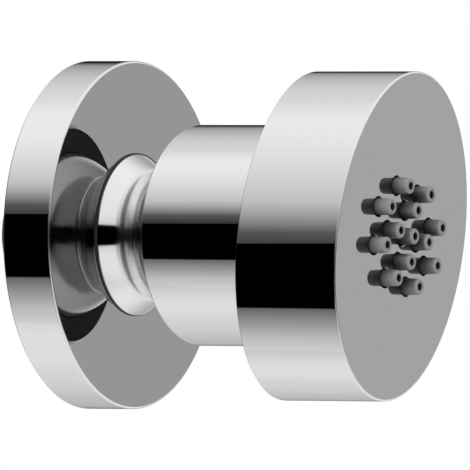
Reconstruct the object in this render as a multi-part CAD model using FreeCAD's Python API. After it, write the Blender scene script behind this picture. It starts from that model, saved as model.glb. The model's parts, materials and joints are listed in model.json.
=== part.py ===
import FreeCAD, Part
import math
import os

from FreeCAD import Vector

# A wall-mounted shower body jet: a round wall flange, a ball on a threaded stub, and an oval
# spray head on a round sleeve that swivels on the ball.
#
# Every piece is drawn in the jet's own frame, in millimetres: z is the distance from the wall
# along the jet axis, x points right and y up for someone who faces the nozzles. The last step
# turns that frame into the part's: +Z up, the flange facing -Y, and the origin on the flange's
# axis in the plane of the wall. The head is turned a little on its ball, as it hangs in use.

# Wall flange
flange_radius = 30.0
flange_height = 9.2
flange_front_wall = 2.2
flange_rim_width = 2.0
flange_step_width = 2.0
flange_edge_bevel = 0.35
flange_hub_wall = 2.4
flange_hub_setback = 0.6
flange_inner_fillet = 0.8
flange_bore_clearance = 0.15
gasket_thickness = 3.0
gasket_width = 3.4
gasket_clearance = 0.1

# Threaded stub that screws into the wall fitting
thread_radius = 10.478
thread_length = 8.6
thread_run_in = 1.0
thread_lead = 0.7
nose_length = 3.4
nose_groove_depth = 0.9
nose_groove_width = 1.6
nose_groove_setback = 0.8
nose_bevel = 0.5
thread_relief_width = 0.8
thread_relief_depth = 0.9
shank_radius = 11.0
stub_wall = 2.678
inlet_bore_depth = 10.0
waterway_radius = 3.5
key_socket_across_flats = 10.0
key_socket_depth = 8.0

# Collar that holds the flange, and the neck behind the ball
collar_radius = 13.85
collar_rim_height = 0.95
collar_rim_rounding = 0.3
collar_height = 3.95
collar_crown_radius = 10.0
collar_crown_slope = 13.0
collar_bulge = 0.51
neck_radius = 9.1
collar_seal_thickness = 0.6
collar_seal_overhang = 0.25
collar_seal_clearance = 0.15

# Ball and the pieces that swivel on it
ball_radius = 14.8
ball_reach = 16.8
ball_flat_angle = 30.0
running_gap = 0.1
ball_seal_thickness = 0.95
ball_seal_front_angle = 50.0
ball_seal_rear_angle = 62.0
seat_cup_wall = 0.95
seat_cup_rear_angle = 75.8
ball_ring_front = 2.8
ball_ring_flange_thickness = 1.2
ball_ring_flange_inset = 0.75
ball_ring_recess = 0.1
spring_height = 1.3
spring_thickness = 0.5
spring_width = 3.6
spring_clearance = 0.4
spring_end_gap = 0.05

# Round sleeve between the ball and the head
sleeve_gap = 12.7
sleeve_beyond_ball = 1.9
sleeve_wall = 2.0
sleeve_rear_bevel = 0.6
spigot_length = 3.5
spigot_wall = 4.35
fit_gap = 0.05
sleeve_oring_section = 0.65
sleeve_oring_setback = 1.2

# Oval head
head_side_overhang = 0.6
head_end_overhang = 10.0
head_depth = 20.5
head_roll = 18.5
head_swivel = 4.4
head_wall = 1.9
head_ledge_width = 1.4
head_face_thickness = 2.0
head_front_bevel = 0.4
head_rear_bevel = 0.25
back_plate_thickness = 3.0
head_seal_thickness = 1.2

# Spray nozzles
nozzle_inner_ring = 4.52
nozzle_inner_count = 4
nozzle_outer_ring = 8.73
nozzle_outer_count = 8
nozzle_ring_turn = 5.2
nozzle_stand = 2.9
nozzle_base_radius = 1.52
nozzle_tip_radius = 1.38
nozzle_tip_rounding = 0.25
nozzle_orifice_radius = 0.66
nozzle_orifice_depth = 2.2
nozzle_feed_radius = 0.95
nozzle_hole_clearance = 0.22
mat_thickness = 1.6
mat_margin = 2.0
mat_clearance = 0.1
mat_frame_clearance = 0.5
diffuser_thickness = 2.8
diffuser_hole_radius = 1.0

# Screws
back_screw_count_per_end = 2
back_screw_spread = 14.0
back_screw_radius = 1.25
back_screw_head_radius = 2.5
back_screw_length = 9.2
back_screw_boss_radius = 2.6
back_screw_boss_length = 7.0
plate_screw_count = 4
plate_screw_radius = 0.85
plate_screw_head_radius = 1.6
plate_screw_head_height = 1.3
plate_screw_bite = 2.4
screw_hole_clearance = 0.1
screw_key_share = 0.5
screw_key_depth = 0.8

# Inlet strainer and flow regulator
strainer_rim_width = 1.4
strainer_rim_height = 1.2
strainer_wall = 0.6
strainer_dome_height = 2.6
strainer_hole_radius = 0.55
strainer_ring_step = 2.2
strainer_ring_count = 2
strainer_ring_holes = 6
regulator_height = 4.4
regulator_clearance = 0.25
regulator_oring_section = 0.7
regulator_core_radius = 1.6
regulator_core_height = 1.4
regulator_port_radius = 0.8
regulator_port_count = 8
regulator_port_ring = 3.9

# Places along the jet axis
flange_front = flange_height
ball_centre = flange_front + ball_reach
sleeve_rear = flange_front + sleeve_gap
sleeve_front = ball_centre + ball_radius + sleeve_beyond_ball
head_front = sleeve_front + head_depth
plate_front = sleeve_front + back_plate_thickness
ledge_front = plate_front + head_seal_thickness
face_inner = head_front - head_face_thickness
mat_rear = face_inner - mat_thickness
diffuser_rear = mat_rear - diffuser_thickness
stub_end = -(thread_length + nose_length)
inlet_bore_radius = thread_radius - stub_wall
ball_flat = ball_centre + ball_radius * math.cos(math.radians(ball_flat_angle))
spigot_end = sleeve_front - spigot_length
cup_front = spigot_end - spring_height
ring_front = ball_centre + ball_ring_front
ring_rear = sleeve_rear + ball_ring_recess
ring_flange_front = ring_rear + ball_ring_flange_thickness

# Radii that follow from the ball outwards
ball_seal_inner = ball_radius + running_gap
ball_seal_outer = ball_seal_inner + ball_seal_thickness
seat_cup_sphere = ball_seal_outer + running_gap
seat_cup_radius = seat_cup_sphere + seat_cup_wall
sleeve_bore = seat_cup_radius + running_gap
sleeve_radius = sleeve_bore + sleeve_wall
ring_flange_radius = sleeve_radius - ball_ring_flange_inset
cup_rear = ball_centre + seat_cup_sphere * math.cos(math.radians(seat_cup_rear_angle))
spigot_radius = sleeve_bore - fit_gap
water_hole_radius = spigot_radius - spigot_wall

# Outline of the head and what lies inside it
head_half_width = sleeve_radius + head_side_overhang
head_half_height = sleeve_radius + head_end_overhang
mat_radius = nozzle_outer_ring + nozzle_base_radius + mat_margin
frame_inner = mat_radius + mat_clearance
frame_outer = head_half_width - head_wall - head_ledge_width - mat_frame_clearance
plate_screw_ring = (frame_inner + frame_outer) / 2
back_screw_reach = (sleeve_radius + head_half_height - head_wall) / 2
nozzle_hole_radius = nozzle_base_radius + nozzle_hole_clearance

# Where the origin and the pieces of the wall side lie
flange_bore = shank_radius + flange_bore_clearance
collar_seal_radius = collar_radius + collar_seal_overhang
regulator_rear = stub_end + inlet_bore_depth

SAMPLE_TOLERANCE = 1e-4
CUT_MARGIN = 1.0


def turned(outline):
    """Solid of revolution about the jet axis.

    Each corner is (radius, distance from the wall). A corner of four numbers is reached by an
    arc: its first pair is a point on the arc, its last pair is where the arc ends.
    """
    corners = [Vector(corner[-2], 0, corner[-1]) for corner in outline]
    edges = []
    for index, corner in enumerate(outline):
        start = corners[index - 1]
        end = corners[index]
        if len(corner) == 4:
            edges.append(Part.Arc(start, Vector(corner[0], 0, corner[1]), end).toShape())
        else:
            edges.append(Part.LineSegment(start, end).toShape())
    face = Part.Face(Part.Wire(edges))
    solid = face.revolve(Vector(0, 0, 0), Vector(0, 0, 1), 360)
    if solid.Volume < 0:
        solid.reverse()
    return solid


def rod(radius, near, far, x=0.0, y=0.0):
    """Round bar along the jet axis between two distances from the wall."""
    return Part.makeCylinder(radius, far - near, Vector(x, y, near), Vector(0, 0, 1))


def ring(inner, outer, near, far):
    """Plain round ring between two radii and two distances from the wall."""
    return turned([(inner, near), (outer, near), (outer, far), (inner, far)])


def oval(inset, near, far):
    """Slab of the head's oval outline, drawn in by an inset, with its long axis up."""
    long_radius = head_half_height - inset
    short_radius = head_half_width - inset
    curve = Part.Ellipse(Vector(0, 0, 0), long_radius, short_radius)
    face = Part.Face(Part.Wire([curve.toShape()]))
    face.rotate(Vector(0, 0, 0), Vector(0, 0, 1), 90)
    face.translate(Vector(0, 0, near))
    return face.extrude(Vector(0, 0, far - near))


def hexagon(across_flats, near, far, x=0.0, y=0.0):
    """Six-sided bar along the jet axis."""
    corner_radius = across_flats / math.sqrt(3)
    corners = []
    for index in range(7):
        angle = math.radians(60 * index)
        corner_x = x + corner_radius * math.cos(angle)
        corner_y = y + corner_radius * math.sin(angle)
        corners.append(Vector(corner_x, corner_y, near))
    return Part.Face(Part.makePolygon(corners)).extrude(Vector(0, 0, far - near))


def on_sphere(radius, angle):
    """Point (radius, distance) on a sphere round the ball's centre, angle from the jet axis."""
    turn = math.radians(angle)
    return radius * math.sin(turn), ball_centre + radius * math.cos(turn)


def at_reach(sphere, distance):
    """Radius of a sphere round the ball's centre at a distance from the wall."""
    return math.sqrt(sphere ** 2 - (distance - ball_centre) ** 2)


def arc_on_sphere(sphere, start_distance, end_distance):
    """Arc corner along a sphere round the ball's centre, between two distances from the wall."""
    start = math.degrees(math.acos((start_distance - ball_centre) / sphere))
    end = math.degrees(math.acos((end_distance - ball_centre) / sphere))
    return on_sphere(sphere, (start + end) / 2) + (at_reach(sphere, end_distance), end_distance)


def bulged(start, end, bulge):
    """Arc corner from a start to an end, standing off their line by a bulge on its right side."""
    across = end[0] - start[0]
    along = end[1] - start[1]
    chord = math.hypot(across, along)
    middle_radius = (start[0] + end[0]) / 2 + bulge * along / chord
    middle_distance = (start[1] + end[1]) / 2 - bulge * across / chord
    return middle_radius, middle_distance, end[0], end[1]


def on_circle(radius, count, turn=0.0):
    """Evenly spaced points on a circle, the first at an angle from the long axis."""
    points = []
    for index in range(count):
        angle = math.radians(90 + turn + 360 * index / count)
        points.append((radius * math.cos(angle), radius * math.sin(angle)))
    return points


def oring(centre_radius, section, distance):
    """O-ring of a round section."""
    return Part.makeTorus(centre_radius, section, Vector(0, 0, distance), Vector(0, 0, 1))


def bevelled(shape, size, distance):
    """Shape with every edge that lies at one distance from the wall bevelled."""
    edges = []
    for edge in shape.Edges:
        box = edge.BoundBox
        rear_off = abs(box.ZMin - distance)
        front_off = abs(box.ZMax - distance)
        if max(rear_off, front_off) < SAMPLE_TOLERANCE:
            edges.append(edge)
    return shape.makeChamfer(size, edges)


def joined(shapes):
    """One solid from several that touch or overlap."""
    result = shapes[0].fuse(shapes[1:])
    return result.removeSplitter()


def nozzle_places():
    """Centres of the nozzles: one in the middle and two rings."""
    inner = on_circle(nozzle_inner_ring, nozzle_inner_count, nozzle_ring_turn)
    half_step = 180 / nozzle_outer_count
    outer = on_circle(nozzle_outer_ring, nozzle_outer_count, nozzle_ring_turn + half_step)
    return [(0.0, 0.0)] + inner + outer


def back_screw_places():
    """Centres of the screws near the two long ends of the head's back."""
    places = []
    for end in (90, 270):
        for index in range(back_screw_count_per_end):
            share = 2 * index / (back_screw_count_per_end - 1) - 1
            angle = math.radians(end + share * back_screw_spread)
            places.append((back_screw_reach * math.cos(angle), back_screw_reach * math.sin(angle)))
    return places


def plate_screw_places():
    """Centres of the screws that hold the diffuser."""
    return on_circle(plate_screw_ring, plate_screw_count, 180 / plate_screw_count)


def wall_flange():
    """Hollow round flange with a hub round the shank and a step for the gasket."""
    front_inner = flange_front - flange_front_wall
    step_radius = flange_radius - flange_rim_width
    hollow_radius = step_radius - flange_step_width
    hub_radius = flange_bore + flange_hub_wall
    fillet = flange_inner_fillet
    bulge = fillet * (1 - math.sqrt(0.5))
    return turned([
        (flange_radius, 0),
        (flange_radius, flange_front - flange_edge_bevel),
        (flange_radius - flange_edge_bevel, flange_front),
        (flange_bore, flange_front),
        (flange_bore, flange_hub_setback),
        (hub_radius, flange_hub_setback),
        (hub_radius, front_inner - fillet),
        (hub_radius + bulge, front_inner - bulge, hub_radius + fillet, front_inner),
        (hollow_radius - fillet, front_inner),
        (hollow_radius - bulge, front_inner - bulge, hollow_radius, front_inner - fillet),
        (hollow_radius, gasket_thickness),
        (step_radius, gasket_thickness),
        (step_radius, 0),
    ])


def flange_gasket():
    """Soft ring inside the flange's rim, flush with it against the wall."""
    outer = flange_radius - flange_rim_width - gasket_clearance
    return ring(outer - gasket_width, outer, 0, gasket_thickness)


def nose_groove():
    """Near and far side and floor radius of the groove for the inlet O-ring."""
    near = stub_end + nose_groove_setback
    far = near + nose_groove_width
    nose_radius = thread_radius - thread_lead
    return near, far, nose_radius, nose_radius - nose_groove_depth


def collar_corners():
    """Collar and neck: a rounded rim, a domed top and a fillet up to the neck."""
    seat = flange_front + collar_seal_thickness
    rim = (collar_radius, flange_front + collar_rim_height)
    seat_edge = (collar_radius - collar_rim_rounding, seat)
    crown = (collar_crown_radius, flange_front + collar_height)
    slope = math.radians(collar_crown_slope)
    fillet = (collar_crown_radius - neck_radius) / (1 - math.sin(slope))
    centre_radius = neck_radius + fillet
    centre_distance = crown[1] + fillet * math.cos(slope)
    half_turn = (slope + math.pi / 2) / 2
    return [
        seat_edge,
        bulged(seat_edge, rim, collar_rim_rounding / 4),
        bulged(rim, crown, collar_bulge),
        (
            centre_radius - fillet * math.sin(half_turn),
            centre_distance - fillet * math.cos(half_turn),
            neck_radius,
            centre_distance,
        ),
    ]


def ball_connector():
    """Stub, shank, collar, neck and ball, turned and bored from one bar."""
    groove_near, groove_far, nose_radius, groove_floor = nose_groove()
    relief_radius = thread_radius - thread_relief_depth
    ball_start = ball_centre - math.sqrt(ball_radius ** 2 - neck_radius ** 2)
    outline = [
        (inlet_bore_radius, stub_end),
        (nose_radius - nose_bevel, stub_end),
        (nose_radius, stub_end + nose_bevel),
        (nose_radius, groove_near),
        (groove_floor, groove_near),
        (groove_floor, groove_far),
        (nose_radius, groove_far),
        (nose_radius, -thread_length - thread_lead),
        (thread_radius, -thread_length),
        (thread_radius, thread_run_in - thread_relief_width),
        (relief_radius, thread_run_in - thread_relief_width),
        (relief_radius, thread_run_in),
        (shank_radius, thread_run_in),
        (shank_radius, flange_front + collar_seal_thickness),
    ]
    outline += collar_corners()
    outline += [
        (neck_radius, ball_start),
        arc_on_sphere(ball_radius, ball_start, ball_flat),
        (waterway_radius, ball_flat),
        (waterway_radius, regulator_rear),
        (inlet_bore_radius, regulator_rear),
    ]
    socket = hexagon(key_socket_across_flats, ball_flat - key_socket_depth, ball_flat + CUT_MARGIN)
    return turned(outline).cut(socket)


def inlet_oring():
    """O-ring in the groove of the stub's nose."""
    near, far, nose_radius, floor = nose_groove()
    section = nose_groove_depth / 2
    return oring(floor + section, section, (near + far) / 2)


def collar_seal():
    """Flat seal between the collar and the flange's face."""
    inner = flange_bore + collar_seal_clearance
    return ring(inner, collar_seal_radius, flange_front, flange_front + collar_seal_thickness)


def inlet_strainer():
    """Domed strainer pressed into the mouth of the stub."""
    rim_inner = inlet_bore_radius - strainer_rim_width
    rim_far = stub_end + strainer_rim_height
    dome_top = rim_far + strainer_dome_height
    base_radius = rim_inner + strainer_wall
    cap = (base_radius ** 2 + strainer_dome_height ** 2) / (2 * strainer_dome_height)
    inner_cap = cap - strainer_wall
    centre = dome_top - cap
    outer_half = math.asin(base_radius / cap) / 2
    inner_half = math.asin(rim_inner / inner_cap) / 2
    dome_foot = centre + math.sqrt(inner_cap ** 2 - rim_inner ** 2)
    inner_middle = (inner_cap * math.sin(inner_half), centre + inner_cap * math.cos(inner_half))
    body = turned([
        (rim_inner, stub_end),
        (inlet_bore_radius, stub_end),
        (inlet_bore_radius, rim_far),
        (base_radius, rim_far),
        (cap * math.sin(outer_half), centre + cap * math.cos(outer_half), 0, dome_top),
        (0, dome_top - strainer_wall),
        inner_middle + (rim_inner, dome_foot),
    ])
    drills = [rod(strainer_hole_radius, stub_end, dome_top + CUT_MARGIN)]
    for index in range(1, strainer_ring_count + 1):
        for x, y in on_circle(index * strainer_ring_step, index * strainer_ring_holes):
            drills.append(rod(strainer_hole_radius, stub_end, dome_top + CUT_MARGIN, x, y))
    return body.cut(drills)


def regulator_outline():
    """Radius, rear and front of the flow regulator in the stub's bore."""
    radius = inlet_bore_radius - regulator_clearance
    return radius, regulator_rear - regulator_height, regulator_rear


def flow_regulator():
    """Plug with a ring of ports and a groove for its O-ring."""
    radius, near, far = regulator_outline()
    middle = (near + far) / 2
    floor = inlet_bore_radius - 2 * regulator_oring_section
    half_groove = regulator_oring_section * 1.1
    body = turned([
        (0, near - regulator_core_height),
        (regulator_core_radius, near - regulator_core_height),
        (regulator_core_radius, near),
        (radius, near),
        (radius, middle - half_groove),
        (floor, middle - half_groove),
        (floor, middle + half_groove),
        (radius, middle + half_groove),
        (radius, far),
        (regulator_port_ring + 2 * regulator_port_radius, far),
        (regulator_port_ring + 2 * regulator_port_radius, middle),
        (0, middle),
    ])
    ports = []
    for x, y in on_circle(regulator_port_ring, regulator_port_count):
        ports.append(rod(regulator_port_radius, near - CUT_MARGIN, far, x, y))
    return body.cut(ports)


def regulator_oring():
    """O-ring between the regulator and the stub's bore."""
    radius, near, far = regulator_outline()
    return oring(inlet_bore_radius - regulator_oring_section, regulator_oring_section, (near + far) / 2)


def rear_ball_ring():
    """Dark ring in the sleeve's mouth that holds the ball from behind."""
    outer = sleeve_bore - fit_gap
    return turned([
        (ring_flange_radius, ring_rear),
        (ring_flange_radius, ring_flange_front),
        (outer, ring_flange_front),
        (outer, ring_front),
        (at_reach(ball_seal_inner, ring_front), ring_front),
        arc_on_sphere(ball_seal_inner, ring_front, ring_rear),
    ])


def ball_seal():
    """Soft zone of a sphere between the ball and the seat cup."""
    front = ball_seal_front_angle
    rear = ball_seal_rear_angle
    middle = (front + rear) / 2
    return turned([
        on_sphere(ball_seal_inner, middle) + on_sphere(ball_seal_inner, front),
        on_sphere(ball_seal_outer, front),
        on_sphere(ball_seal_outer, middle) + on_sphere(ball_seal_outer, rear),
        on_sphere(ball_seal_inner, rear),
    ])


def seat_cup():
    """Cup with a hollow sphere that presses the seal onto the ball."""
    return turned([
        (seat_cup_radius, cup_rear),
        (seat_cup_radius, cup_front),
        (at_reach(seat_cup_sphere, cup_front), cup_front),
        arc_on_sphere(seat_cup_sphere, cup_front, cup_rear),
    ])


def seat_spring():
    """Coned spring washer between the cup and the head's spigot."""
    outer = sleeve_bore - spring_clearance
    inner = outer - spring_width
    near = cup_front + spring_end_gap
    far = spigot_end - spring_end_gap
    return turned([
        (outer, near),
        (outer, near + spring_thickness),
        (inner, far),
        (inner, far - spring_thickness),
    ])


def swivel_sleeve():
    """Plain round sleeve with a step in its mouth for the ball ring."""
    mouth = ring_flange_radius + fit_gap
    return turned([
        (mouth, sleeve_rear),
        (sleeve_radius - sleeve_rear_bevel, sleeve_rear),
        (sleeve_radius, sleeve_rear + sleeve_rear_bevel),
        (sleeve_radius, sleeve_front),
        (sleeve_bore, sleeve_front),
        (sleeve_bore, ring_flange_front),
        (mouth, ring_flange_front),
    ])


def sleeve_oring_place():
    """Middle and floor radius of the groove in the head's spigot."""
    middle = sleeve_front - sleeve_oring_setback
    return middle, sleeve_bore - 2 * sleeve_oring_section


def sleeve_oring():
    """O-ring between the head's spigot and the sleeve."""
    middle, floor = sleeve_oring_place()
    return oring(floor + sleeve_oring_section, sleeve_oring_section, middle)


def back_plate():
    """Oval plate that closes the head, with a spigot that screws into the sleeve."""
    middle, floor = sleeve_oring_place()
    half_groove = sleeve_oring_section * 1.1
    spigot = turned([
        (water_hole_radius, spigot_end),
        (spigot_radius, spigot_end),
        (spigot_radius, middle - half_groove),
        (floor, middle - half_groove),
        (floor, middle + half_groove),
        (spigot_radius, middle + half_groove),
        (spigot_radius, plate_front),
        (water_hole_radius, plate_front),
    ])
    plate = oval(head_wall + fit_gap, sleeve_front, plate_front)
    plate = plate.cut(rod(water_hole_radius, sleeve_front - CUT_MARGIN, plate_front + CUT_MARGIN))
    body = joined([plate, spigot])
    for x, y in back_screw_places():
        body = body.cut(back_screw_cutter(x, y))
    return body


def back_screw_cutter(x, y):
    """Countersunk hole in the back plate."""
    head_radius = back_screw_head_radius + screw_hole_clearance
    shank_radius_here = back_screw_radius + screw_hole_clearance
    cone = Part.makeCone(
        head_radius,
        shank_radius_here,
        head_radius - shank_radius_here,
        Vector(x, y, sleeve_front),
        Vector(0, 0, 1),
    )
    return cone.fuse(rod(shank_radius_here, sleeve_front - CUT_MARGIN, plate_front + CUT_MARGIN, x, y))


def head_seal():
    """Flat oval seal between the back plate and the shell's ledge."""
    outer = oval(head_wall + fit_gap, plate_front, ledge_front)
    inset = head_wall + head_ledge_width
    return outer.cut(oval(inset, plate_front - CUT_MARGIN, ledge_front + CUT_MARGIN))


def head_shell():
    """Oval drum, open behind, with the polished face and its nozzle holes in one piece."""
    body = oval(0, sleeve_front, head_front)
    body = bevelled(body, head_front_bevel, head_front)
    body = bevelled(body, head_rear_bevel, sleeve_front)
    body = body.cut(oval(head_wall, sleeve_front - CUT_MARGIN, ledge_front))
    body = body.cut(oval(head_wall + head_ledge_width, ledge_front - CUT_MARGIN, face_inner))
    frame = ring(frame_inner, frame_outer, mat_rear, face_inner)
    bosses = []
    boss_front = ledge_front + back_screw_boss_length
    for x, y in back_screw_places():
        bosses.append(rod(back_screw_boss_radius, ledge_front, boss_front, x, y))
    body = joined([body, frame] + bosses)
    drills = []
    for x, y in back_screw_places():
        drills.append(rod(back_screw_radius, ledge_front - CUT_MARGIN, back_screw_tip() + fit_gap, x, y))
    for x, y in plate_screw_places():
        drills.append(rod(plate_screw_radius, mat_rear - CUT_MARGIN, plate_screw_tip() + fit_gap, x, y))
    for x, y in nozzle_places():
        drills.append(rod(nozzle_hole_radius, face_inner - CUT_MARGIN, head_front + CUT_MARGIN, x, y))
    return body.cut(drills)


def nozzle(x, y):
    """One rubber nozzle on the mat, slightly tapered, with a rounded tip."""
    tip = head_front + nozzle_stand
    rounding = nozzle_tip_rounding
    bulge = rounding * (1 - math.sqrt(0.5))
    body = turned([
        (0, face_inner - mat_thickness / 2),
        (nozzle_base_radius, face_inner - mat_thickness / 2),
        (nozzle_base_radius, face_inner),
        (nozzle_tip_radius, tip - rounding),
        (nozzle_tip_radius - bulge, tip - bulge, nozzle_tip_radius - rounding, tip),
        (0, tip),
    ])
    body.translate(Vector(x, y, 0))
    return body


def nozzle_mat():
    """Rubber mat with the nozzles moulded on it, each bored through."""
    shapes = [rod(mat_radius, mat_rear, face_inner)]
    drills = []
    tip = head_front + nozzle_stand
    for x, y in nozzle_places():
        shapes.append(nozzle(x, y))
        drills.append(rod(nozzle_orifice_radius, mat_rear - CUT_MARGIN, tip + CUT_MARGIN, x, y))
        drills.append(rod(nozzle_feed_radius, mat_rear - CUT_MARGIN, tip - nozzle_orifice_depth, x, y))
    return joined(shapes).cut(drills)


def diffuser_plate():
    """Plate behind the mat that feeds each nozzle and clamps the mat to the face."""
    drills = []
    for x, y in nozzle_places():
        drills.append(rod(diffuser_hole_radius, diffuser_rear - CUT_MARGIN, mat_rear + CUT_MARGIN, x, y))
    for x, y in plate_screw_places():
        hole_radius = plate_screw_radius + screw_hole_clearance
        drills.append(rod(hole_radius, diffuser_rear - CUT_MARGIN, mat_rear + CUT_MARGIN, x, y))
    return rod(frame_outer, diffuser_rear, mat_rear).cut(drills)


def back_screw_tip():
    """Distance from the wall to the back screws' tips."""
    return sleeve_front + back_screw_length


def plate_screw_tip():
    """Distance from the wall to the diffuser screws' tips."""
    return mat_rear + plate_screw_bite


def back_screws():
    """Countersunk screws, one solid each."""
    screws = []
    for x, y in back_screw_places():
        head = Part.makeCone(
            back_screw_head_radius,
            back_screw_radius - fit_gap,
            back_screw_head_radius - back_screw_radius + fit_gap,
            Vector(x, y, sleeve_front),
            Vector(0, 0, 1),
        )
        shank = rod(back_screw_radius - fit_gap, sleeve_front, back_screw_tip(), x, y)
        key = 2 * back_screw_head_radius * screw_key_share
        socket = hexagon(key, sleeve_front - CUT_MARGIN, sleeve_front + screw_key_depth, x, y)
        screws.append(joined([head, shank]).cut(socket))
    return Part.makeCompound(screws)


def plate_screws():
    """Pan-head screws behind the diffuser, one solid each."""
    screws = []
    head_rear = diffuser_rear - plate_screw_head_height
    for x, y in plate_screw_places():
        head = rod(plate_screw_head_radius, head_rear, diffuser_rear, x, y)
        shank = rod(plate_screw_radius - fit_gap, diffuser_rear, plate_screw_tip(), x, y)
        key = 2 * plate_screw_head_radius * screw_key_share
        socket = hexagon(key, head_rear - CUT_MARGIN, head_rear + screw_key_depth, x, y)
        screws.append(joined([head, shank]).cut(socket))
    return Part.makeCompound(screws)


WALL_SIDE = (
    wall_flange,
    flange_gasket,
    ball_connector,
    collar_seal,
    inlet_oring,
    inlet_strainer,
    flow_regulator,
    regulator_oring,
)
TILTING = (
    ball_seal,
)
SWIVEL = (
    seat_cup,
    seat_spring,
    rear_ball_ring,
    swivel_sleeve,
)
HEAD = (
    sleeve_oring,
    back_plate,
    back_screws,
    head_seal,
    head_shell,
    diffuser_plate,
    plate_screws,
    nozzle_mat,
)


def save(piece, roll, swivel):
    """Turns a piece from the jet's frame to the part's and writes its file."""
    shape = piece()
    shape.rotate(Vector(0, 0, 0), Vector(0, 0, 1), -roll)
    shape.rotate(Vector(0, 0, ball_centre), Vector(0, 1, 0), -swivel)
    shape.rotate(Vector(0, 0, 0), Vector(1, 0, 0), 90)
    shape.exportStep("parts/" + piece.__name__ + ".step")
    print(piece.__name__, len(shape.Solids), shape.isValid(), round(shape.Volume, 1))


os.makedirs("parts", exist_ok=True)
for piece in WALL_SIDE + TILTING:
    save(piece, 0.0, 0.0)
for piece in SWIVEL:
    save(piece, 0.0, head_swivel)
for piece in HEAD:
    save(piece, head_roll, head_swivel)
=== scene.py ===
import json
import math

import bpy
from mathutils import Euler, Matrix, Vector


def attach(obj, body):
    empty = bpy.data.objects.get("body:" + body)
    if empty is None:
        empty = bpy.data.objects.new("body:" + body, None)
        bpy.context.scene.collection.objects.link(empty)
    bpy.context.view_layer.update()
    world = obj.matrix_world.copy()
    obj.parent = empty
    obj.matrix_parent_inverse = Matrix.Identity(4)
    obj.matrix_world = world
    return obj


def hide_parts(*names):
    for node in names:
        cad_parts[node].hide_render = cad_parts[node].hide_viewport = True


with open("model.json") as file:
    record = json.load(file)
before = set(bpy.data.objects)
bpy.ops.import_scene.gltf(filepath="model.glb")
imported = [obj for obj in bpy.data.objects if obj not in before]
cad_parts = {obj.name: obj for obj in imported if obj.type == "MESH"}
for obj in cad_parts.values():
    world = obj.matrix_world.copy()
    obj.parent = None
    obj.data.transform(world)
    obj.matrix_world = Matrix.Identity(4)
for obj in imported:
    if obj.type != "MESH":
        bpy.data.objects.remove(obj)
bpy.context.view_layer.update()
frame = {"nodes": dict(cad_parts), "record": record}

MM = 0.001

# Sizes in metres. Distances are from the wall, along the jet axis.
flange_radius = 30.0 * MM
flange_front = 9.2 * MM
flange_rounding = 0.35 * MM
flange_rear_bevel = 0.3 * MM
flange_front_wall = 2.2 * MM
flange_rim_width = 2.0 * MM
flange_step_width = 2.0 * MM
flange_step_depth = 3.0 * MM
flange_hub_wall = 2.4 * MM
flange_hub_setback = 0.6 * MM
flange_bore_clearance = 0.15 * MM

# Stub
stub_end = -12.0 * MM
thread_radius = 10.478 * MM
thread_depth = 1.0 * MM
thread_pitch = 1.814 * MM
thread_length = 8.6 * MM
thread_run_in = 1.0 * MM
thread_lead = 0.7 * MM
thread_half_width = 0.85 * MM
thread_setback = 0.95 * MM
thread_sunk_share = 0.92
thread_turns = 4
nose_radius = 9.778 * MM
nose_bevel = 0.5 * MM
nose_groove_depth = 0.9 * MM
nose_groove_width = 1.6 * MM
nose_groove_setback = 0.8 * MM
shank_radius = 11.0 * MM
inlet_bore_radius = 7.8 * MM
inlet_bore_depth = 10.0 * MM
inlet_bevel = 0.3 * MM
waterway_radius = 3.5 * MM
key_socket_radius = 10.0 * MM / math.sqrt(3)
key_socket_depth = 8.0 * MM
cut_margin = 1.0 * MM

# Collar, neck and ball
collar_radius = 13.85 * MM
collar_seat = flange_front + 0.1 * MM
collar_rim = flange_front + 0.5 * MM
collar_shoulder_radius = 11.5 * MM
collar_shoulder = flange_front + 3.5 * MM
collar_crown_radius = 11.0 * MM
collar_crown = flange_front + 3.87 * MM
collar_crown_slope = 46.0
collar_bulge = 0.04 * MM
collar_crown_bulge = 0.02 * MM
# The black seal stands out past the collar and sits off centre: partly a real seal, partly painted shade
# for the gap at the collar's top.
collar_seal_radius = 14.05 * MM
collar_seal_inner = 13.0 * MM
collar_seal_height = 0.35 * MM
collar_seal_sunk = 0.6 * MM
collar_seal_rounding = 0.12 * MM
seal_shade_rise = 0.08 * MM
seal_shade_shift = 0.15 * MM
neck_radius = 10.3 * MM
ball_radius = 14.8 * MM
ball_centre = flange_front + 16.8 * MM
ball_flat_angle = 30.0
ball_finish_start = 14.4 * MM

# Sleeve
sleeve_radius = 19.0 * MM
sleeve_rear = flange_front + 12.7 * MM
sleeve_front = ball_centre + ball_radius + 1.9 * MM
sleeve_wall = 2.0 * MM
sleeve_rear_bevel = 0.6 * MM
ring_seat_radius = 18.3 * MM
ring_seat_depth = 1.3 * MM

# Head
head_half_width = sleeve_radius + 0.6 * MM
head_half_height = sleeve_radius + 10.0 * MM
head_rear = sleeve_front
head_front = head_rear + 20.5 * MM
head_roll = math.radians(18.5)
head_swivel = math.radians(4.4)
head_wall = 1.9 * MM
head_ledge = 1.4 * MM
head_face_thickness = 2.0 * MM
back_plate_thickness = 3.0 * MM
head_seal_thickness = 1.2 * MM
head_front_rounding = 0.3 * MM
head_rear_bevel = 0.25 * MM

# Nozzles
nozzle_inner_ring = 4.52 * MM
nozzle_outer_ring = 8.73 * MM
nozzle_turn = math.radians(5.2)
nozzle_inner_count = 4
nozzle_outer_count = 8
nozzle_stand = 2.9 * MM
nozzle_tip = head_front + nozzle_stand
nozzle_base_radius = 1.52 * MM
nozzle_tip_radius = 1.38 * MM
nozzle_tip_rounding = 0.38 * MM
nozzle_hole_radius = 1.74 * MM
nozzle_orifice_radius = 0.66 * MM
nozzle_orifice_depth = 2.2 * MM
nozzle_orifice_end = 0.02 * MM
nozzle_mouth = 0.12 * MM
nozzle_root_height = 0.3 * MM
mat_thickness = 1.6 * MM
mat_radius = 12.25 * MM
hole_edge = 0.1 * MM
fill_radius = 15.5 * MM

# Width of the flat strips that keep the shading of flats and walls true beside a rounding
support = 0.1 * MM

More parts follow.
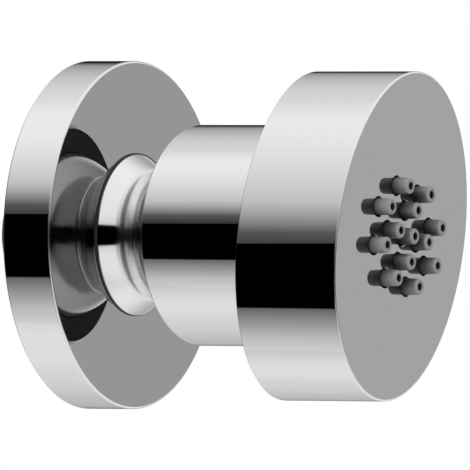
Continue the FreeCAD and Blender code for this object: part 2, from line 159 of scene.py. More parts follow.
ROUND_STEPS = 288
DISC_STEPS = 128
THREAD_STEPS = 96
HOLE_STEPS = 64
BALL_STEPS = 40
SLOPE_STEPS = 16
FILLET_STEPS = 8
THREAD_SIDES = 8
SOCKET_SIDES = 6
EDGE_STEPS = 6
SEAL_STEPS = 4
SHARP_ANGLE = math.radians(25)
ACROSS_THE_JET = (math.pi / 2, 0, 0)
MERGE_DISTANCE = 1e-7
SEAM_DISTANCE = 1e-6


def deselect_all():
    """Nothing selected, and object mode on."""
    if bpy.context.object and bpy.context.object.mode != "OBJECT":
        bpy.ops.object.mode_set(mode="OBJECT")
    bpy.ops.object.select_all(action="DESELECT")


def select_only(piece):
    """One piece selected and active."""
    deselect_all()
    piece.select_set(True)
    bpy.context.view_layer.objects.active = piece


def edit_all():
    """Edit mode on the active piece, with all of it selected."""
    bpy.ops.object.mode_set(mode="EDIT")
    bpy.ops.mesh.select_all(action="SELECT")


def close_seams(distance):
    """Merges the active piece's doubled points and turns its faces outwards."""
    edit_all()
    bpy.ops.mesh.remove_doubles(threshold=distance)
    bpy.ops.mesh.normals_make_consistent(inside=False)
    bpy.ops.object.mode_set(mode="OBJECT")


def start_ring(name, half_width, half_height, distance):
    """A ring across the jet axis, in edit mode, as the start of a turned or oval piece."""
    deselect_all()
    bpy.ops.mesh.primitive_circle_add(
        vertices=ROUND_STEPS,
        radius=1.0,
        location=(0, -distance, 0),
        rotation=ACROSS_THE_JET,
    )
    piece = bpy.context.object
    piece.name = name
    piece.data.name = name
    piece.scale = (half_width, half_height, 1)
    bpy.ops.object.transform_apply(location=True, rotation=True, scale=True)
    edit_all()
    return piece


def next_ring(last, ring):
    """Extrudes the selected ring to the next half width, half height and distance."""
    bpy.ops.mesh.extrude_region_move(
        TRANSFORM_OT_translate={"value": (0, last[2] - ring[2], 0)}
    )
    bpy.ops.transform.resize(
        value=(ring[0] / last[0], 1, ring[1] / last[1]),
        center_override=(0, 0, 0),
    )


def pull_through(rings):
    """Extrudes the selected first ring through all the others."""
    for last, ring in zip(rings, rings[1:]):
        next_ring(last, ring)


def open_skin(name, rings):
    """Skin through rings of half width, half height and distance."""
    piece = start_ring(name, *rings[0])
    pull_through(rings)
    bpy.ops.object.mode_set(mode="OBJECT")
    return piece


def turned_piece(name, outline):
    """Closed round piece from corners of radius and distance."""
    rings = [(radius, radius, distance) for radius, distance in outline]
    piece = open_skin(name, rings + rings[:1])
    close_seams(MERGE_DISTANCE)
    return piece


def finish_smooth(piece):
    """Smooth shading with the true edges kept."""
    select_only(piece)
    bpy.ops.object.shade_smooth_by_angle(angle=SHARP_ANGLE)


def take_away(piece, cutter):
    """Cuts a solid out of a piece and removes that solid."""
    select_only(piece)
    cut = piece.modifiers.new("holes", "BOOLEAN")
    cut.operation = "DIFFERENCE"
    cut.solver = "EXACT"
    cut.object = cutter
    bpy.ops.object.modifier_apply(modifier=cut.name)
    bpy.data.objects.remove(cutter)


def arc(centre_radius, centre_distance, size, start, end, steps):
    """Points on an arc in the outline's plane; angles are from the jet direction."""
    points = []
    for index in range(steps + 1):
        angle = math.radians(start + (end - start) * index / steps)
        points.append((centre_radius + size * math.sin(angle), centre_distance + size * math.cos(angle)))
    return points


def bulged(start, end, bulge, steps):
    """Points from a start to an end on an arc that stands off their line, outwards and forwards."""
    across = end[0] - start[0]
    along = end[1] - start[1]
    chord = math.hypot(across, along)
    size = (chord ** 2 / 4 + bulge ** 2) / (2 * bulge)
    reach = size - bulge
    centre_radius = (start[0] + end[0]) / 2 - reach * along / chord
    centre_distance = (start[1] + end[1]) / 2 + reach * across / chord
    first = math.degrees(math.atan2(start[0] - centre_radius, start[1] - centre_distance))
    last = math.degrees(math.atan2(end[0] - centre_radius, end[1] - centre_distance))
    return arc(centre_radius, centre_distance, size, first, last, steps)


def ring_places(radius, count, turn):
    """Evenly spaced places round the jet axis, the first at an angle from the head's long axis."""
    places = []
    for index in range(count):
        angle = math.pi / 2 + turn + 2 * math.pi * index / count
        places.append((radius * math.cos(angle), radius * math.sin(angle)))
    return places


def turn_to_rest(piece, roll):
    """Rolls a piece about the jet axis and swivels it on the ball, as the head hangs."""
    centre = Vector((0, -ball_centre, 0))
    turn = Euler((0, roll, -head_swivel))
    select_only(piece)
    piece.rotation_euler = turn
    piece.location = centre - turn.to_matrix() @ centre
    bpy.ops.object.transform_apply(location=True, rotation=True)


def nozzle_places():
    """The middle nozzle, four round it and eight outside."""
    inner = ring_places(nozzle_inner_ring, nozzle_inner_count, nozzle_turn)
    half_step = math.pi / nozzle_outer_count
    outer = ring_places(nozzle_outer_ring, nozzle_outer_count, nozzle_turn + half_step)
    return [(0.0, 0.0)] + inner + outer


def copies_at(piece, places):
    """One copy of a piece at each place across the jet axis, each with its own mesh."""
    made = []
    for x, z in places:
        select_only(piece)
        bpy.ops.object.duplicate(linked=False)
        copy = bpy.context.object
        copy.location = (x, 0, z)
        bpy.ops.object.transform_apply(location=True)
        made.append(copy)
    bpy.data.objects.remove(piece)
    return made


def join_pieces(name, parts):
    """Several meshes as one object."""
    deselect_all()
    for part in parts:
        part.select_set(True)
    bpy.context.view_layer.objects.active = parts[0]
    bpy.ops.object.join()
    joined = bpy.context.object
    joined.name = name
    joined.data.name = name
    return joined


def make_flange():
    """Wall flange: round disc with a softened front edge and a hollow, stepped back."""
    bore = shank_radius + flange_bore_clearance
    hub = bore + flange_hub_wall
    rim = flange_radius - flange_rim_width
    hollow = rim - flange_step_width
    inner = flange_front - flange_front_wall
    edge_radius = flange_radius - flange_rounding
    edge_distance = flange_front - flange_rounding
    outline = [
        (bore, flange_front),
        (edge_radius - support, flange_front),
    ]
    outline += arc(edge_radius, edge_distance, flange_rounding, 0, 90, EDGE_STEPS)
    outline += [
        (flange_radius, edge_distance - support),
        (flange_radius, flange_rear_bevel),
        (flange_radius - flange_rear_bevel, 0.0),
        (rim, 0.0),
        (rim, flange_step_depth),
        (hollow, flange_step_depth),
        (hollow, inner),
        (hub, inner),
        (hub, flange_hub_setback),
        (bore, flange_hub_setback),
    ]
    return turned_piece("flange_disc", outline)


def collar_outline():
    """The collar's rim, domed slope, crown and fillet up to the neck."""
    slope = math.radians(collar_crown_slope)
    fillet = (collar_crown_radius - neck_radius) / (1 - math.sin(slope))
    rim = (collar_radius, collar_rim)
    crown = (collar_crown_radius, collar_crown)
    shoulder = (collar_shoulder_radius, collar_shoulder)
    points = [(collar_radius, collar_seat), rim]
    points += bulged(rim, shoulder, collar_bulge, SLOPE_STEPS)[1:]
    points += bulged(shoulder, crown, collar_crown_bulge, EDGE_STEPS)[1:]
    centre_radius = neck_radius + fillet
    centre_distance = collar_crown + fillet * math.cos(slope)
    start = 180 + collar_crown_slope
    points += arc(centre_radius, centre_distance, fillet, start, 270, FILLET_STEPS)[1:]
    return points


def make_thread():
    """One helical ridge round the stub."""
    deselect_all()
    bpy.ops.mesh.primitive_circle_add(
        vertices=THREAD_SIDES,
        radius=1.0,
        rotation=(0, 0, math.pi / THREAD_SIDES),
    )
    ridge = bpy.context.object
    ridge.name = "thread"
    ridge.scale = (thread_depth, thread_half_width, 1)
    ridge.location = (
        thread_radius - thread_sunk_share * thread_depth,
        thread_length - thread_setback,
        0,
    )
    bpy.ops.object.transform_apply(location=True, rotation=True, scale=True)
    coil = ridge.modifiers.new("coil", "SCREW")
    coil.axis = "Y"
    coil.steps = THREAD_STEPS
    coil.render_steps = THREAD_STEPS
    coil.angle = 2 * math.pi
    coil.screw_offset = -thread_pitch
    coil.iterations = thread_turns
    bpy.ops.object.modifier_apply(modifier=coil.name)
    edit_all()
    bpy.ops.mesh.remove_doubles(threshold=MERGE_DISTANCE)
    bpy.ops.mesh.fill_holes(sides=THREAD_SIDES)
    bpy.ops.mesh.normals_make_consistent(inside=False)
    bpy.ops.object.mode_set(mode="OBJECT")
    return ridge


def make_connector():
    """Stub, shank, collar, neck and ball in one turned piece, with its thread and key socket."""
    ball_start = math.degrees(math.asin(neck_radius / ball_radius))
    ball = arc(0, ball_centre, ball_radius, 180 - ball_start, ball_flat_angle, BALL_STEPS)
    root = thread_radius - thread_depth
    bore_floor = stub_end + inlet_bore_depth
    groove = stub_end + nose_groove_setback
    groove_end = groove + nose_groove_width
    floor = nose_radius - nose_groove_depth
    outline = [
        (inlet_bore_radius + inlet_bevel, stub_end),
        (nose_radius - nose_bevel, stub_end),
        (nose_radius, stub_end + nose_bevel),
        (nose_radius, groove),
        (floor, groove),
        (floor, groove_end),
        (nose_radius, groove_end),
        (nose_radius, -thread_length - thread_lead),
        (root, -thread_length),
        (root, thread_run_in),
        (shank_radius, thread_run_in),
        (shank_radius, collar_seat),
    ]
    outline += collar_outline()
    outline += ball
    ball_flat = ball[-1][1]
    outline += [
        (waterway_radius, ball_flat),
        (waterway_radius, bore_floor),
        (inlet_bore_radius, bore_floor),
        (inlet_bore_radius, stub_end + inlet_bevel),
    ]
    piece = turned_piece("ball_and_stub", outline)
    socket = small_solid("socket", [
        (key_socket_radius, ball_flat - key_socket_depth),
        (key_socket_radius, ball_flat + cut_margin),
    ], SOCKET_SIDES)
    take_away(piece, socket)
    return join_pieces("ball_and_stub", [piece, make_thread()])


def make_collar_seal():
    """Black seal round the collar's foot, a little off centre. It stands out past the collar's rim and
    sits off centre, so that its black edge stands in for the shade in the gap at the collar's top:
    partly a real seal, partly painted shade.
    """
    rounding = collar_seal_rounding
    low = flange_front - collar_seal_sunk
    top = flange_front + collar_seal_height
    outline = [(collar_seal_inner, low), (collar_seal_radius, low)]
    outline += arc(collar_seal_radius - rounding, top - rounding, rounding, 90, 0, SEAL_STEPS)
    outline.append((collar_seal_inner, top))
    piece = turned_piece("rim_seal", outline)
    # Off centre, so that the seal's black edge stands in for the shade in the gap at the collar's top:
    # painted shade.
    piece.location = (seal_shade_shift, 0, seal_shade_rise)
    bpy.ops.object.transform_apply(location=True, rotation=True)
    return piece


def make_sleeve():
    """Plain round sleeve, bevelled at its rear edge, with a step inside for the dark ring."""
    bore = sleeve_radius - sleeve_wall
    step = sleeve_rear + ring_seat_depth
    piece = turned_piece("round_sleeve", [
        (ring_seat_radius, sleeve_rear),
        (sleeve_radius - sleeve_rear_bevel, sleeve_rear),
        (sleeve_radius, sleeve_rear + sleeve_rear_bevel),
        (sleeve_radius, sleeve_front),
        (bore, sleeve_front),
        (bore, step),
        (ring_seat_radius, step),
    ])
    turn_to_rest(piece, 0)
    return piece


def pierced_plate(name, distance, hole_radius):
    """Flat round plate at a distance, open where the nozzles pass through it."""
    rings = [open_ring(fill_radius, 0, 0, distance, ROUND_STEPS)]
    for x, z in nozzle_places():
        rings.append(open_ring(hole_radius, x, z, distance, HOLE_STEPS))
    plate = join_pieces(name, rings)
    edit_all()
    bpy.ops.mesh.fill(use_beauty=True)
    bpy.ops.object.mode_set(mode="OBJECT")
    return plate


def open_ring(radius, x, z, distance, steps):
    """Bare ring of edges across the jet axis."""
    deselect_all()
    bpy.ops.mesh.primitive_circle_add(
        vertices=steps,
        radius=radius,
        location=(x, -distance, z),
        rotation=ACROSS_THE_JET,
    )
    ring = bpy.context.object
    bpy.ops.object.transform_apply(location=True, rotation=True, scale=True)
    return ring


def hole_wall(face_inner):
    """Wall of one nozzle hole, bevelled where it meets the face."""
    mouth = nozzle_hole_radius + hole_edge
    wall = open_ring(mouth, 0, 0, head_front, HOLE_STEPS)
    edit_all()
    pull_through([
        (mouth, mouth, head_front),
        (nozzle_hole_radius, nozzle_hole_radius, head_front - hole_edge),
        (nozzle_hole_radius, nozzle_hole_radius, face_inner),
    ])
    bpy.ops.object.mode_set(mode="OBJECT")
    return wall


def make_shell():
    """Oval drum, open behind, with thirteen bevelled holes in its face."""
    def oval(inset, distance):
        return (head_half_width - inset, head_half_height - inset, distance)

    ledge = head_rear + back_plate_thickness + head_seal_thickness
    face_inner = head_front - head_face_thickness
    rings = [
        oval(head_wall, head_rear),
        oval(head_rear_bevel, head_rear),
        oval(0, head_rear + head_rear_bevel),
    ]
    corner = head_front - head_front_rounding
    rings.append(oval(0, corner - support))
    for reach, distance in arc(0, corner, head_front_rounding, 90, 0, EDGE_STEPS):
        rings.append(oval(head_front_rounding - reach, distance))
    rings.append(oval(head_front_rounding + support, head_front))
    rings.append((fill_radius, fill_radius, head_front))
    outside = open_skin("drum_outside", rings)
    inside = open_skin("drum_inside", [
        oval(head_wall, head_rear),
        oval(head_wall, ledge),
        oval(head_wall + head_ledge, ledge),
        oval(head_wall + head_ledge, face_inner),
        (fill_radius, fill_radius, face_inner),
    ])
    parts = [
        outside,
        inside,
        pierced_plate("face_plate", head_front, nozzle_hole_radius + hole_edge),
        pierced_plate("inner_plate", face_inner, nozzle_hole_radius),
    ]
    parts += copies_at(hole_wall(face_inner), nozzle_places())
    piece = join_pieces("oval_drum", parts)
    close_seams(SEAM_DISTANCE)
    turn_to_rest(piece, head_roll)
    return piece


def small_solid(name, outline, steps):
    """Round solid with flat ends from corners of radius and distance."""
    deselect_all()
    radius, distance = outline[0]
    bpy.ops.mesh.primitive_circle_add(
        vertices=steps,
        radius=radius,
        fill_type="NGON",
        location=(0, -distance, 0),
        rotation=ACROSS_THE_JET,
    )
    piece = bpy.context.object
    piece.name = name
    bpy.ops.object.transform_apply(location=True, rotation=True, scale=True)
    edit_all()
    pull_through([(radius, radius, distance) for radius, distance in outline])
    bpy.ops.mesh.select_all(action="SELECT")
    bpy.ops.mesh.normals_make_consistent(inside=False)
    bpy.ops.object.mode_set(mode="OBJECT")
    return piece


def make_spray_mat():
    """Rubber mat with its thirteen nozzles; each nozzle has an orifice with a rounded mouth."""
    face_inner = head_front - head_face_thickness
    rounding = nozzle_tip_rounding
    mouth = nozzle_mouth
    outline = [
        (nozzle_base_radius, face_inner - 0.5 * mat_thickness),
        (nozzle_base_radius, face_inner + nozzle_root_height),
    ]
    outline += arc(nozzle_tip_radius - rounding, nozzle_tip - rounding, rounding, 90, 0, EDGE_STEPS)
    outline += [
        (nozzle_orifice_radius + mouth, nozzle_tip),
        (nozzle_orifice_radius + 0.3 * mouth, nozzle_tip - 0.3 * mouth),
        (nozzle_orifice_radius, nozzle_tip - mouth),
        (nozzle_orifice_radius, nozzle_tip - nozzle_orifice_depth),
        (nozzle_orifice_end, nozzle_tip - nozzle_orifice_depth),
    ]
    nozzle = small_solid("nozzle", outline, HOLE_STEPS)
    nozzles = copies_at(nozzle, nozzle_places())
    disc = small_solid("mat_disc", [
        (mat_radius, face_inner - mat_thickness),
        (mat_radius, face_inner),
    ], DISC_STEPS)
    piece = join_pieces("spray_mat", nozzles + [disc])
    turn_to_rest(piece, head_roll)
    return piece


# Levels of the chrome's and the silicone's colours, plain and with painted shade where seen in another
# mirror
chrome_level = 0.66
polished_painted_mirror_level = 0.36
turned_painted_mirror_level = 0.3
silicone_low = 0.18
silicone_high = 0.22
silicone_painted_mirror_share = 0.14

# Turning marks: their skew along the jet, and the radius that the ramps take as 1
marks_skew = 1.7
marks_radius = 20.0 * MM
marks_depth = 0.04 * MM
collar_anisotropy = 0.9
grain_spread = 0.06


def blank_material(name):
    """A node material with only its shader and output."""
    material = bpy.data.materials.new(name)
    material.use_nodes = True
    tree = material.node_tree
    shader = tree.nodes["Principled BSDF"]
    return material, tree, shader


def object_noise(tree, scale, detail=3.0, roughness=0.5):
    """Noise on the piece's own coordinates."""
    coordinates = tree.nodes.new("ShaderNodeTexCoord")
    noise = tree.nodes.new("ShaderNodeTexNoise")
    noise.inputs["Scale"].default_value = scale
    noise.inputs["Detail"].default_value = detail
    noise.inputs["Roughness"].default_value = roughness
    tree.links.new(coordinates.outputs["Object"], noise.inputs["Vector"])
    return noise


def ranged(tree, source, low, high):
    """A noise's value brought to a range."""
    spread = tree.nodes.new("ShaderNodeMapRange")
    spread.inputs["From Min"].default_value = 0.3
    spread.inputs["From Max"].default_value = 0.7
    spread.inputs["To Min"].default_value = low
    spread.inputs["To Max"].default_value = high
    tree.links.new(source, spread.inputs["Value"])
    return spread.outputs["Result"]


def bump_from(tree, shader, source, distance, strength=1.0):
    """Fine relief from a height."""
    bump = tree.nodes.new("ShaderNodeBump")
    bump.inputs["Distance"].default_value = distance
    bump.inputs["Strength"].default_value = strength
    tree.links.new(source, bump.inputs["Height"])
    tree.links.new(bump.outputs["Normal"], shader.inputs["Normal"])


def math_node(tree, operation, first, second):
    """Result of a sum on two values, each a socket or a number."""
    node = tree.nodes.new("ShaderNodeMath")
    node.operation = operation
    for socket, value in zip(node.inputs, (first, second)):
        if isinstance(value, (int, float)):
            socket.default_value = value
        else:
            tree.links.new(value, socket)
    return node.outputs["Value"]


def value_ramp(tree, source, steps):
    """Greys along a value, from (position, level) pairs."""
    ramp = tree.nodes.new("ShaderNodeValToRGB")
    elements = ramp.color_ramp.elements
    elements[0].position = steps[0][0]
    elements[1].position = steps[-1][0]
    for position, level in steps[1:-1]:
        elements.new(position)
    for element, (position, level) in zip(elements, steps):
        element.color = (level, level, level, 1)
    tree.links.new(source, ramp.inputs["Fac"])
    return ramp.outputs["Color"]


def tinted(tree, colour, shade):
    """A colour made darker by a grey."""
    mix = tree.nodes.new("ShaderNodeMix")
    mix.data_type = "RGBA"
    mix.blend_type = "MULTIPLY"
    mix.inputs["Factor"].default_value = 1.0
    tree.links.new(colour, mix.inputs["A"])
    tree.links.new(shade, mix.inputs["B"])
    return mix.outputs["Result"]


def parts_of(tree, vector):
    """The X, Y and Z of a vector."""
    split = tree.nodes.new("ShaderNodeSeparateXYZ")
    tree.links.new(vector, split.inputs["Vector"])
    return split.outputs["X"], split.outputs["Y"], split.outputs["Z"]


def own_place(tree):
    """Distance from the jet axis and along it, on the piece's own coordinates."""
    coordinates = tree.nodes.new("ShaderNodeTexCoord")
    x, y, z = parts_of(tree, coordinates.outputs["Object"])
    flat = tree.nodes.new("ShaderNodeCombineXYZ")
    tree.links.new(x, flat.inputs["X"])
    tree.links.new(z, flat.inputs["Z"])
    length = tree.nodes.new("ShaderNodeVectorMath")
    length.operation = "LENGTH"
    tree.links.new(flat.outputs["Vector"], length.inputs[0])
    distance = math_node(tree, "MULTIPLY", y, -1.0)
    return length.outputs["Value"], distance


def chrome_with_painted_mirror_shade(tree, shader, painted_mirror_shade_level):
    """Chrome, with painted shade: its colour is deeper where it is seen in another mirror."""
    path = tree.nodes.new("ShaderNodeLightPath")
    colour = value_ramp(tree, path.outputs["Is Glossy Ray"], (
        (0.0, chrome_level),
        (1.0, painted_mirror_shade_level),
    ))
    tree.links.new(colour, shader.inputs["Base Color"])


def polished_chrome():
    """Mirror chrome with the faintest haze, duller on narrow bevels."""
    material, tree, shader = blank_material("polished_chrome")
    # Painted shade: the chrome's colour is deeper in its mirror images.
    chrome_with_painted_mirror_shade(tree, shader, polished_painted_mirror_level)
    shader.inputs["Metallic"].default_value = 1.0
    haze = object_noise(tree, scale=90, detail=4)
    geometry = tree.nodes.new("ShaderNodeNewGeometry")
    y = parts_of(tree, geometry.outputs["True Normal"])[1]
    slant = math_node(tree, "ABSOLUTE", y, 0.0)
    bevel = value_ramp(tree, slant, (
        (0.0, 0.0),
        (0.3, 0.0),
        (0.4, 0.25),
        (0.9, 0.25),
        (0.97, 0.0),
        (1.0, 0.0),
    ))
    even = ranged(tree, haze.outputs["Fac"], low=0.012, high=0.03)
    tree.links.new(math_node(tree, "ADD", even, bevel), shader.inputs["Roughness"])
    return material


def turned_chrome():
    """Chrome of the stub, collar and ball: fine turning marks, and a duller ball."""
    material, tree, shader = blank_material("turned_chrome")
    # Painted shade: the chrome's colour is deeper in its mirror images.
    chrome_with_painted_mirror_shade(tree, shader, turned_painted_mirror_level)
    shader.inputs["Metallic"].default_value = 1.0
    radius, distance = own_place(tree)
    skewed = math_node(tree, "MULTIPLY", distance, marks_skew)
    along = math_node(tree, "SUBTRACT", skewed, radius)
    marks = tree.nodes.new("ShaderNodeTexNoise")
    marks.noise_dimensions = "1D"
    marks.inputs["Scale"].default_value = 900
    marks.inputs["Detail"].default_value = 3.0
    tree.links.new(along, marks.inputs["W"])
    share = math_node(tree, "MULTIPLY", radius, 1 / marks_radius)
    inside = value_ramp(tree, share, (
        (0.0, 1.0),
        (0.56, 1.0),
        (0.63, 0.0),
        (1.0, 0.0),
    ))
    middle = math_node(tree, "SUBTRACT", marks.outputs["Fac"], 0.5)
    height = math_node(tree, "MULTIPLY", middle, inside)
    bump_from(tree, shader, height, marks_depth)
    on_ball = math_node(tree, "GREATER_THAN", distance, ball_finish_start)
    off_ball = math_node(tree, "LESS_THAN", distance, ball_finish_start)
    mottle = object_noise(tree, scale=260, detail=5, roughness=0.6)
    dull = ranged(tree, mottle.outputs["Fac"], low=0.1, high=0.22)
    marked = value_ramp(tree, share, (
        (0.0, 0.3),
        (0.56, 0.3),
        (0.61, 0.1),
        (1.0, 0.06),
    ))
    ball_haze = math_node(tree, "MULTIPLY", dull, on_ball)
    collar_haze = math_node(tree, "MULTIPLY", marked, off_ball)
    tree.links.new(math_node(tree, "ADD", ball_haze, collar_haze), shader.inputs["Roughness"])
    streak = math_node(tree, "MULTIPLY", off_ball, collar_anisotropy)
    tree.links.new(streak, shader.inputs["Anisotropic"])
    shader.inputs["Anisotropic Rotation"].default_value = 0.25
    around = tree.nodes.new("ShaderNodeTangent")
    around.direction_type = "RADIAL"
    around.axis = "Y"
    tree.links.new(around.outputs["Tangent"], shader.inputs["Tangent"])
    return material


def grey_silicone():
    """Matt mid-grey silicone, with painted shade in the crevice at each nozzle's foot and painted shade
    where it is seen in a mirror.
    """
    material, tree, shader = blank_material("grey_silicone")
    grain = object_noise(tree, scale=2500, detail=4)
    colour = value_ramp(tree, grain.outputs["Fac"], ((0.3, silicone_low), (0.7, silicone_high)))
    # Painted shade: the silicone's colour is darker where it is seen in a mirror.
    path = tree.nodes.new("ShaderNodeLightPath")
    shade = value_ramp(tree, path.outputs["Is Glossy Ray"], (
        (0.0, 1.0),
        (1.0, silicone_painted_mirror_share),
    ))
    # Painted shade: ambient occlusion darkens the colour in the crevice at each nozzle's foot.
    crevice = tree.nodes.new("ShaderNodeAmbientOcclusion")
    crevice.samples = 24
    crevice.inputs["Distance"].default_value = 5.0 * MM
    foot = value_ramp(tree, crevice.outputs["AO"], (
        (0.0, 0.02),
        (0.35, 0.04),
        (0.55, 0.3),
        (0.8, 1.0),
        (1.0, 1.0),
    ))
    shaded = tinted(tree, colour, foot)
    tree.links.new(tinted(tree, shaded, shade), shader.inputs["Base Color"])
    shader.inputs["Roughness"].default_value = 0.55
    bump_from(tree, shader, grain.outputs["Fac"], distance=0.02 * MM, strength=0.4)
    return material


def moulded(name, level, roughness):
    """Moulded plastic, rubber or foam of one grey level, with a fine grain."""
    material, tree, shader = blank_material(name)
    grain = object_noise(tree, scale=1800, detail=3)
    shader.inputs["Base Color"].default_value = (level, level, level, 1)
    low = roughness - grain_spread
    high = roughness + grain_spread
    tree.links.new(ranged(tree, grain.outputs["Fac"], low, high), shader.inputs["Roughness"])
    bump_from(tree, shader, grain.outputs["Fac"], distance=0.015 * MM, strength=0.4)
    return material


def steel():
    """Bright plain stainless steel."""
    material, tree, shader = blank_material("stainless_steel")
    shader.inputs["Base Color"].default_value = (0.6, 0.6, 0.6, 1)
    shader.inputs["Metallic"].default_value = 1.0
    grain = object_noise(tree, scale=1200, detail=3)
    brushed = ranged(tree, grain.outputs["Fac"], low=0.2, high=0.34)
    tree.links.new(brushed, shader.inputs["Roughness"])
    return material


def set_material(piece, material):
    """The piece's only material."""
    piece.data.materials.clear()
    piece.data.materials.append(material)


chrome = polished_chrome()
turned = turned_chrome()
silicone = grey_silicone()
black_rubber = moulded("black_rubber", level=0.012, roughness=0.6)
black_plastic = moulded("black_plastic", level=0.012, roughness=0.5)
white_plastic = moulded("white_plastic", level=0.75, roughness=0.4)
foam = moulded("soft_foam", level=0.12, roughness=0.8)
stainless = steel()

FINISHES = {
    "polished_chrome": chrome,
    "stainless_steel": stainless,
    "black_rubber": black_rubber,
    "black_plastic": black_plastic,
    "white_plastic": white_plastic,
    "grey_silicone": silicone,
    "soft_foam": foam,
}
for subpart in frame["record"]["subparts"]:
    node = frame["nodes"][subpart["node"]]
    set_material(node, FINISHES[subpart["material_slot"]])

for make, node, body, slot, finish in (
    (make_flange, "wall_flange", "wall_side", "polished_chrome", chrome),
    (make_connector, "ball_connector", "wall_side", "polished_chrome", turned),
    (make_collar_seal, "collar_seal", "wall_side", "black_rubber", black_rubber),
    (make_sleeve, "swivel_sleeve", "head", "polished_chrome", chrome),
    (make_shell, "head_shell", "head", "polished_chrome", chrome),
    (make_spray_mat, "nozzle_mat", "head", "grey_silicone", silicone),
):
    piece = make()
    finish_smooth(piece)
    set_material(piece, finish)
    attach(piece, body)
    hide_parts(node)

# Camera, placed for the photograph's view
camera_azimuth = math.radians(-60.75)
camera_elevation = math.radians(0.41)
camera_distance = 3.4474
camera_aim = Vector((8.37 * MM, -24.2 * MM, 0.01 * MM))
focal_pixels = 20000
image_width = 470
back = Vector((
    math.sin(camera_azimuth) * math.cos(camera_elevation),
    -math.cos(camera_azimuth) * math.cos(camera_elevation),
    math.sin(camera_elevation),
))
camera = bpy.data.objects.new("camera", bpy.data.cameras.new("camera"))
bpy.context.scene.collection.objects.link(camera)
camera.data.sensor_width = 36.0
camera.data.lens = focal_pixels * camera.data.sensor_width / image_width
camera.data.clip_start = 0.1
camera.data.clip_end = 20.0
camera.location = camera_aim + back * camera_distance
camera.rotation_mode = "QUATERNION"
camera.rotation_quaternion = (-back).to_track_quat("-Z", "Y")
bpy.context.scene.camera = camera


# Studio: strengths, and directions seen from the part
mirrored_strength = 1.35
matt_strength = 2.2
faces_look_towards = (0.83, -0.55, 0)
soft_light_from = (-0.8, -0.45, 0.4)

# Card beside the flange, lit below and dark above
card_x = -85 * MM
card_y = 10 * MM
card_low = -120 * MM
card_high = 17.7 * MM
card_width = 110 * MM

floor_size = 1.2
floor_height = -32 * MM


def centred(tree, source):
    """A part of a direction, from -1 to 1, brought to 0 to 1."""
    value = math_node(tree, "MULTIPLY_ADD", source, 0.5)
    value.node.inputs[2].default_value = 0.5
    return value


def mixed(tree, share, first, second):
    """Blend of two colours by a share."""
    mix = tree.nodes.new("ShaderNodeMix")
    mix.data_type = "RGBA"
    for name, source in (("Factor", share), ("A", first), ("B", second)):
        socket = next(one for one in mix.inputs if one.name == name and one.enabled)
        tree.links.new(source, socket)
    return next(one for one in mix.outputs if one.enabled)


def background(tree, colour, strength):
    """Sky light of a colour."""
    sky = tree.nodes.new("ShaderNodeBackground")
    sky.inputs["Strength"].default_value = strength
    tree.links.new(colour, sky.inputs["Color"])
    return sky.outputs["Background"]


def joined(tree, share, first, second):
    """Blend of two shaders by a share."""
    mix = tree.nodes.new("ShaderNodeMixShader")
    tree.links.new(share, mix.inputs["Fac"])
    tree.links.new(first, mix.inputs[1])
    tree.links.new(second, mix.inputs[2])
    return mix.outputs["Shader"]


def towards(tree, direction, aim):
    """How far a direction points towards an aim: 1 along it, 0 across it."""
    dot = tree.nodes.new("ShaderNodeVectorMath")
    dot.operation = "DOT_PRODUCT"
    dot.inputs[1].default_value = aim
    tree.links.new(direction, dot.inputs[0])
    return dot.outputs["Value"]


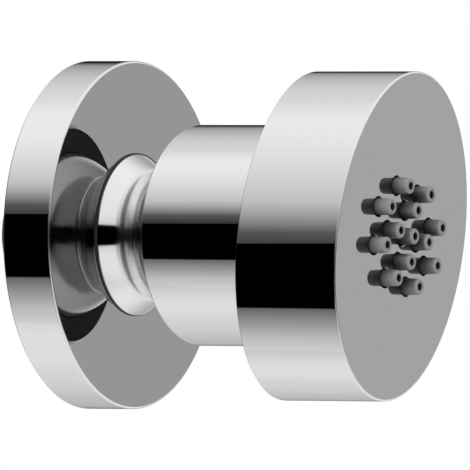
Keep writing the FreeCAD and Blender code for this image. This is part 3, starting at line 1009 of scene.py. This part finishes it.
def make_world():
    """White to the camera; a soft studio with a dark horizon for everything else."""
    world = bpy.data.worlds.new("studio")
    bpy.context.scene.world = world
    world.use_nodes = True
    tree = world.node_tree
    tree.nodes.clear()
    coordinates = tree.nodes.new("ShaderNodeTexCoord")
    direction = coordinates.outputs["Generated"]
    x, y, z = parts_of(tree, direction)
    height = centred(tree, z)
    sideways = centred(tree, x)
    frontways = centred(tree, y)
    left = value_ramp(tree, height, (
        (0.0, 0.85),
        (0.1, 0.8),
        (0.35, 0.1),
        (0.4, 0.0),
        (0.56, 0.0),
        (0.65, 0.1),
        (0.75, 0.6),
        (0.9, 0.9),
        (1.0, 0.95),
    ))
    right = value_ramp(tree, height, (
        (0.0, 0.85),
        (0.2, 0.55),
        (0.35, 0.4),
        (0.45, 0.1),
        (0.62, 0.0),
        (0.7, 0.3),
        (0.85, 0.6),
        (1.0, 0.95),
    ))
    across = value_ramp(tree, sideways, (
        (0.0, 0.0),
        (0.48, 0.0),
        (0.6, 1.0),
        (1.0, 1.0),
    ))
    behind = mixed(tree, across, left, right)
    front = value_ramp(tree, height, (
        (0.0, 0.85),
        (0.3, 0.85),
        (0.385, 0.7),
        (0.4, 0.0),
        (0.6, 0.0),
        (0.615, 0.7),
        (0.7, 0.85),
        (1.0, 0.95),
    ))
    forward = value_ramp(tree, frontways, (
        (0.0, 1.0),
        (0.36, 1.0),
        (0.48, 0.0),
        (1.0, 0.0),
    ))
    near = value_ramp(tree, towards(tree, direction, faces_look_towards), (
        (0.0, 0.0),
        (0.86, 0.0),
        (0.95, 1.0),
        (1.0, 1.0),
    ))
    grey = value_ramp(tree, x, (
        (0.0, 0.45),
        (0.8, 0.4),
        (0.9, 0.3),
        (1.0, 0.3),
    ))
    rise = value_ramp(tree, height, (
        (0.0, 1.0),
        (0.4, 1.0),
        (0.47, 0.0),
        (0.53, 0.0),
        (0.6, 1.0),
        (1.0, 1.0),
    ))
    white = tree.nodes.new("ShaderNodeRGB").outputs["Color"]
    white.default_value = (1, 1, 1, 1)
    facing = mixed(tree, rise, grey, white)
    beside = value_ramp(tree, frontways, (
        (0.0, 0.0),
        (0.2, 0.0),
        (0.24, 1.0),
        (0.38, 1.0),
        (0.46, 0.0),
        (1.0, 0.0),
    ))
    leftward = value_ramp(tree, sideways, (
        (0.0, 1.0),
        (0.45, 1.0),
        (0.56, 0.0),
        (1.0, 0.0),
    ))
    wing = math_node(tree, "MULTIPLY", beside, leftward)
    dim = value_ramp(tree, height, (
        (0.0, 0.8),
        (0.2, 0.6),
        (0.36, 0.1),
        (0.4, 0.0),
        (0.6, 0.0),
        (0.7, 0.06),
        (0.8, 0.45),
        (0.88, 0.85),
        (1.0, 0.97),
    ))
    sky = mixed(tree, forward, behind, front)
    sky = mixed(tree, wing, sky, dim)
    sky = mixed(tree, near, sky, facing)
    mirrored = background(tree, sky, mirrored_strength)
    soft_light = value_ramp(tree, centred(tree, towards(tree, direction, soft_light_from)), (
        (0.0, 0.1),
        (0.5, 0.15),
        (0.75, 0.5),
        (0.92, 1.0),
        (1.0, 1.0),
    ))
    matt = background(tree, soft_light, matt_strength)
    seen = background(tree, white, 1.0)
    path = tree.nodes.new("ShaderNodeLightPath")
    on_matt = math_node(tree, "GREATER_THAN", path.outputs["Diffuse Depth"], 0.5)
    light = joined(tree, on_matt, mirrored, matt)
    world_shader = joined(tree, path.outputs["Is Camera Ray"], light, seen)
    out = tree.nodes.new("ShaderNodeOutputWorld")
    tree.links.new(world_shader, out.inputs["Surface"])


def make_card():
    """Card that only mirrors see, glowing in its lower part and black above."""
    deselect_all()
    bpy.ops.mesh.primitive_plane_add(size=1.0)
    card = bpy.context.object
    card.name = "dark_card"
    card.scale = (card_width, card_high - card_low, 1)
    bpy.ops.object.transform_apply(scale=True)
    card.location = (card_x, card_y, (card_low + card_high) / 2)
    card.rotation_euler = (math.pi / 2, 0, math.pi / 2)
    material, tree, shader = blank_material("dark_card")
    tree.nodes.remove(shader)
    coordinates = tree.nodes.new("ShaderNodeTexCoord")
    height = parts_of(tree, coordinates.outputs["Generated"])[1]
    glow = tree.nodes.new("ShaderNodeEmission")
    glow.inputs["Strength"].default_value = mirrored_strength
    levels = value_ramp(tree, height, (
        (0.0, 0.7),
        (0.3, 0.55),
        (0.5, 0.3),
        (0.6, 0.15),
        (0.61, 0.0),
        (1.0, 0.0),
    ))
    tree.links.new(levels, glow.inputs["Color"])
    tree.links.new(glow.outputs["Emission"], tree.nodes["Material Output"].inputs["Surface"])
    set_material(card, material)
    card.visible_camera = False
    card.visible_diffuse = False
    card.visible_shadow = False


def make_floor():
    """Plain pale floor, white to the camera and left out of mirrors."""
    deselect_all()
    bpy.ops.mesh.primitive_plane_add(size=floor_size, location=(0, 0, floor_height))
    floor = bpy.context.object
    floor.name = "floor"
    material, tree, shader = blank_material("floor")
    shader.inputs["Base Color"].default_value = (0.8, 0.8, 0.8, 1)
    shader.inputs["Roughness"].default_value = 0.9
    white = tree.nodes.new("ShaderNodeEmission")
    path = tree.nodes.new("ShaderNodeLightPath")
    seen = path.outputs["Is Camera Ray"]
    surface = joined(tree, seen, shader.outputs["BSDF"], white.outputs["Emission"])
    tree.links.new(surface, tree.nodes["Material Output"].inputs["Surface"])
    set_material(floor, material)
    floor.visible_glossy = False


make_world()
make_floor()
make_card()
bpy.context.scene.view_settings.view_transform = "Standard"
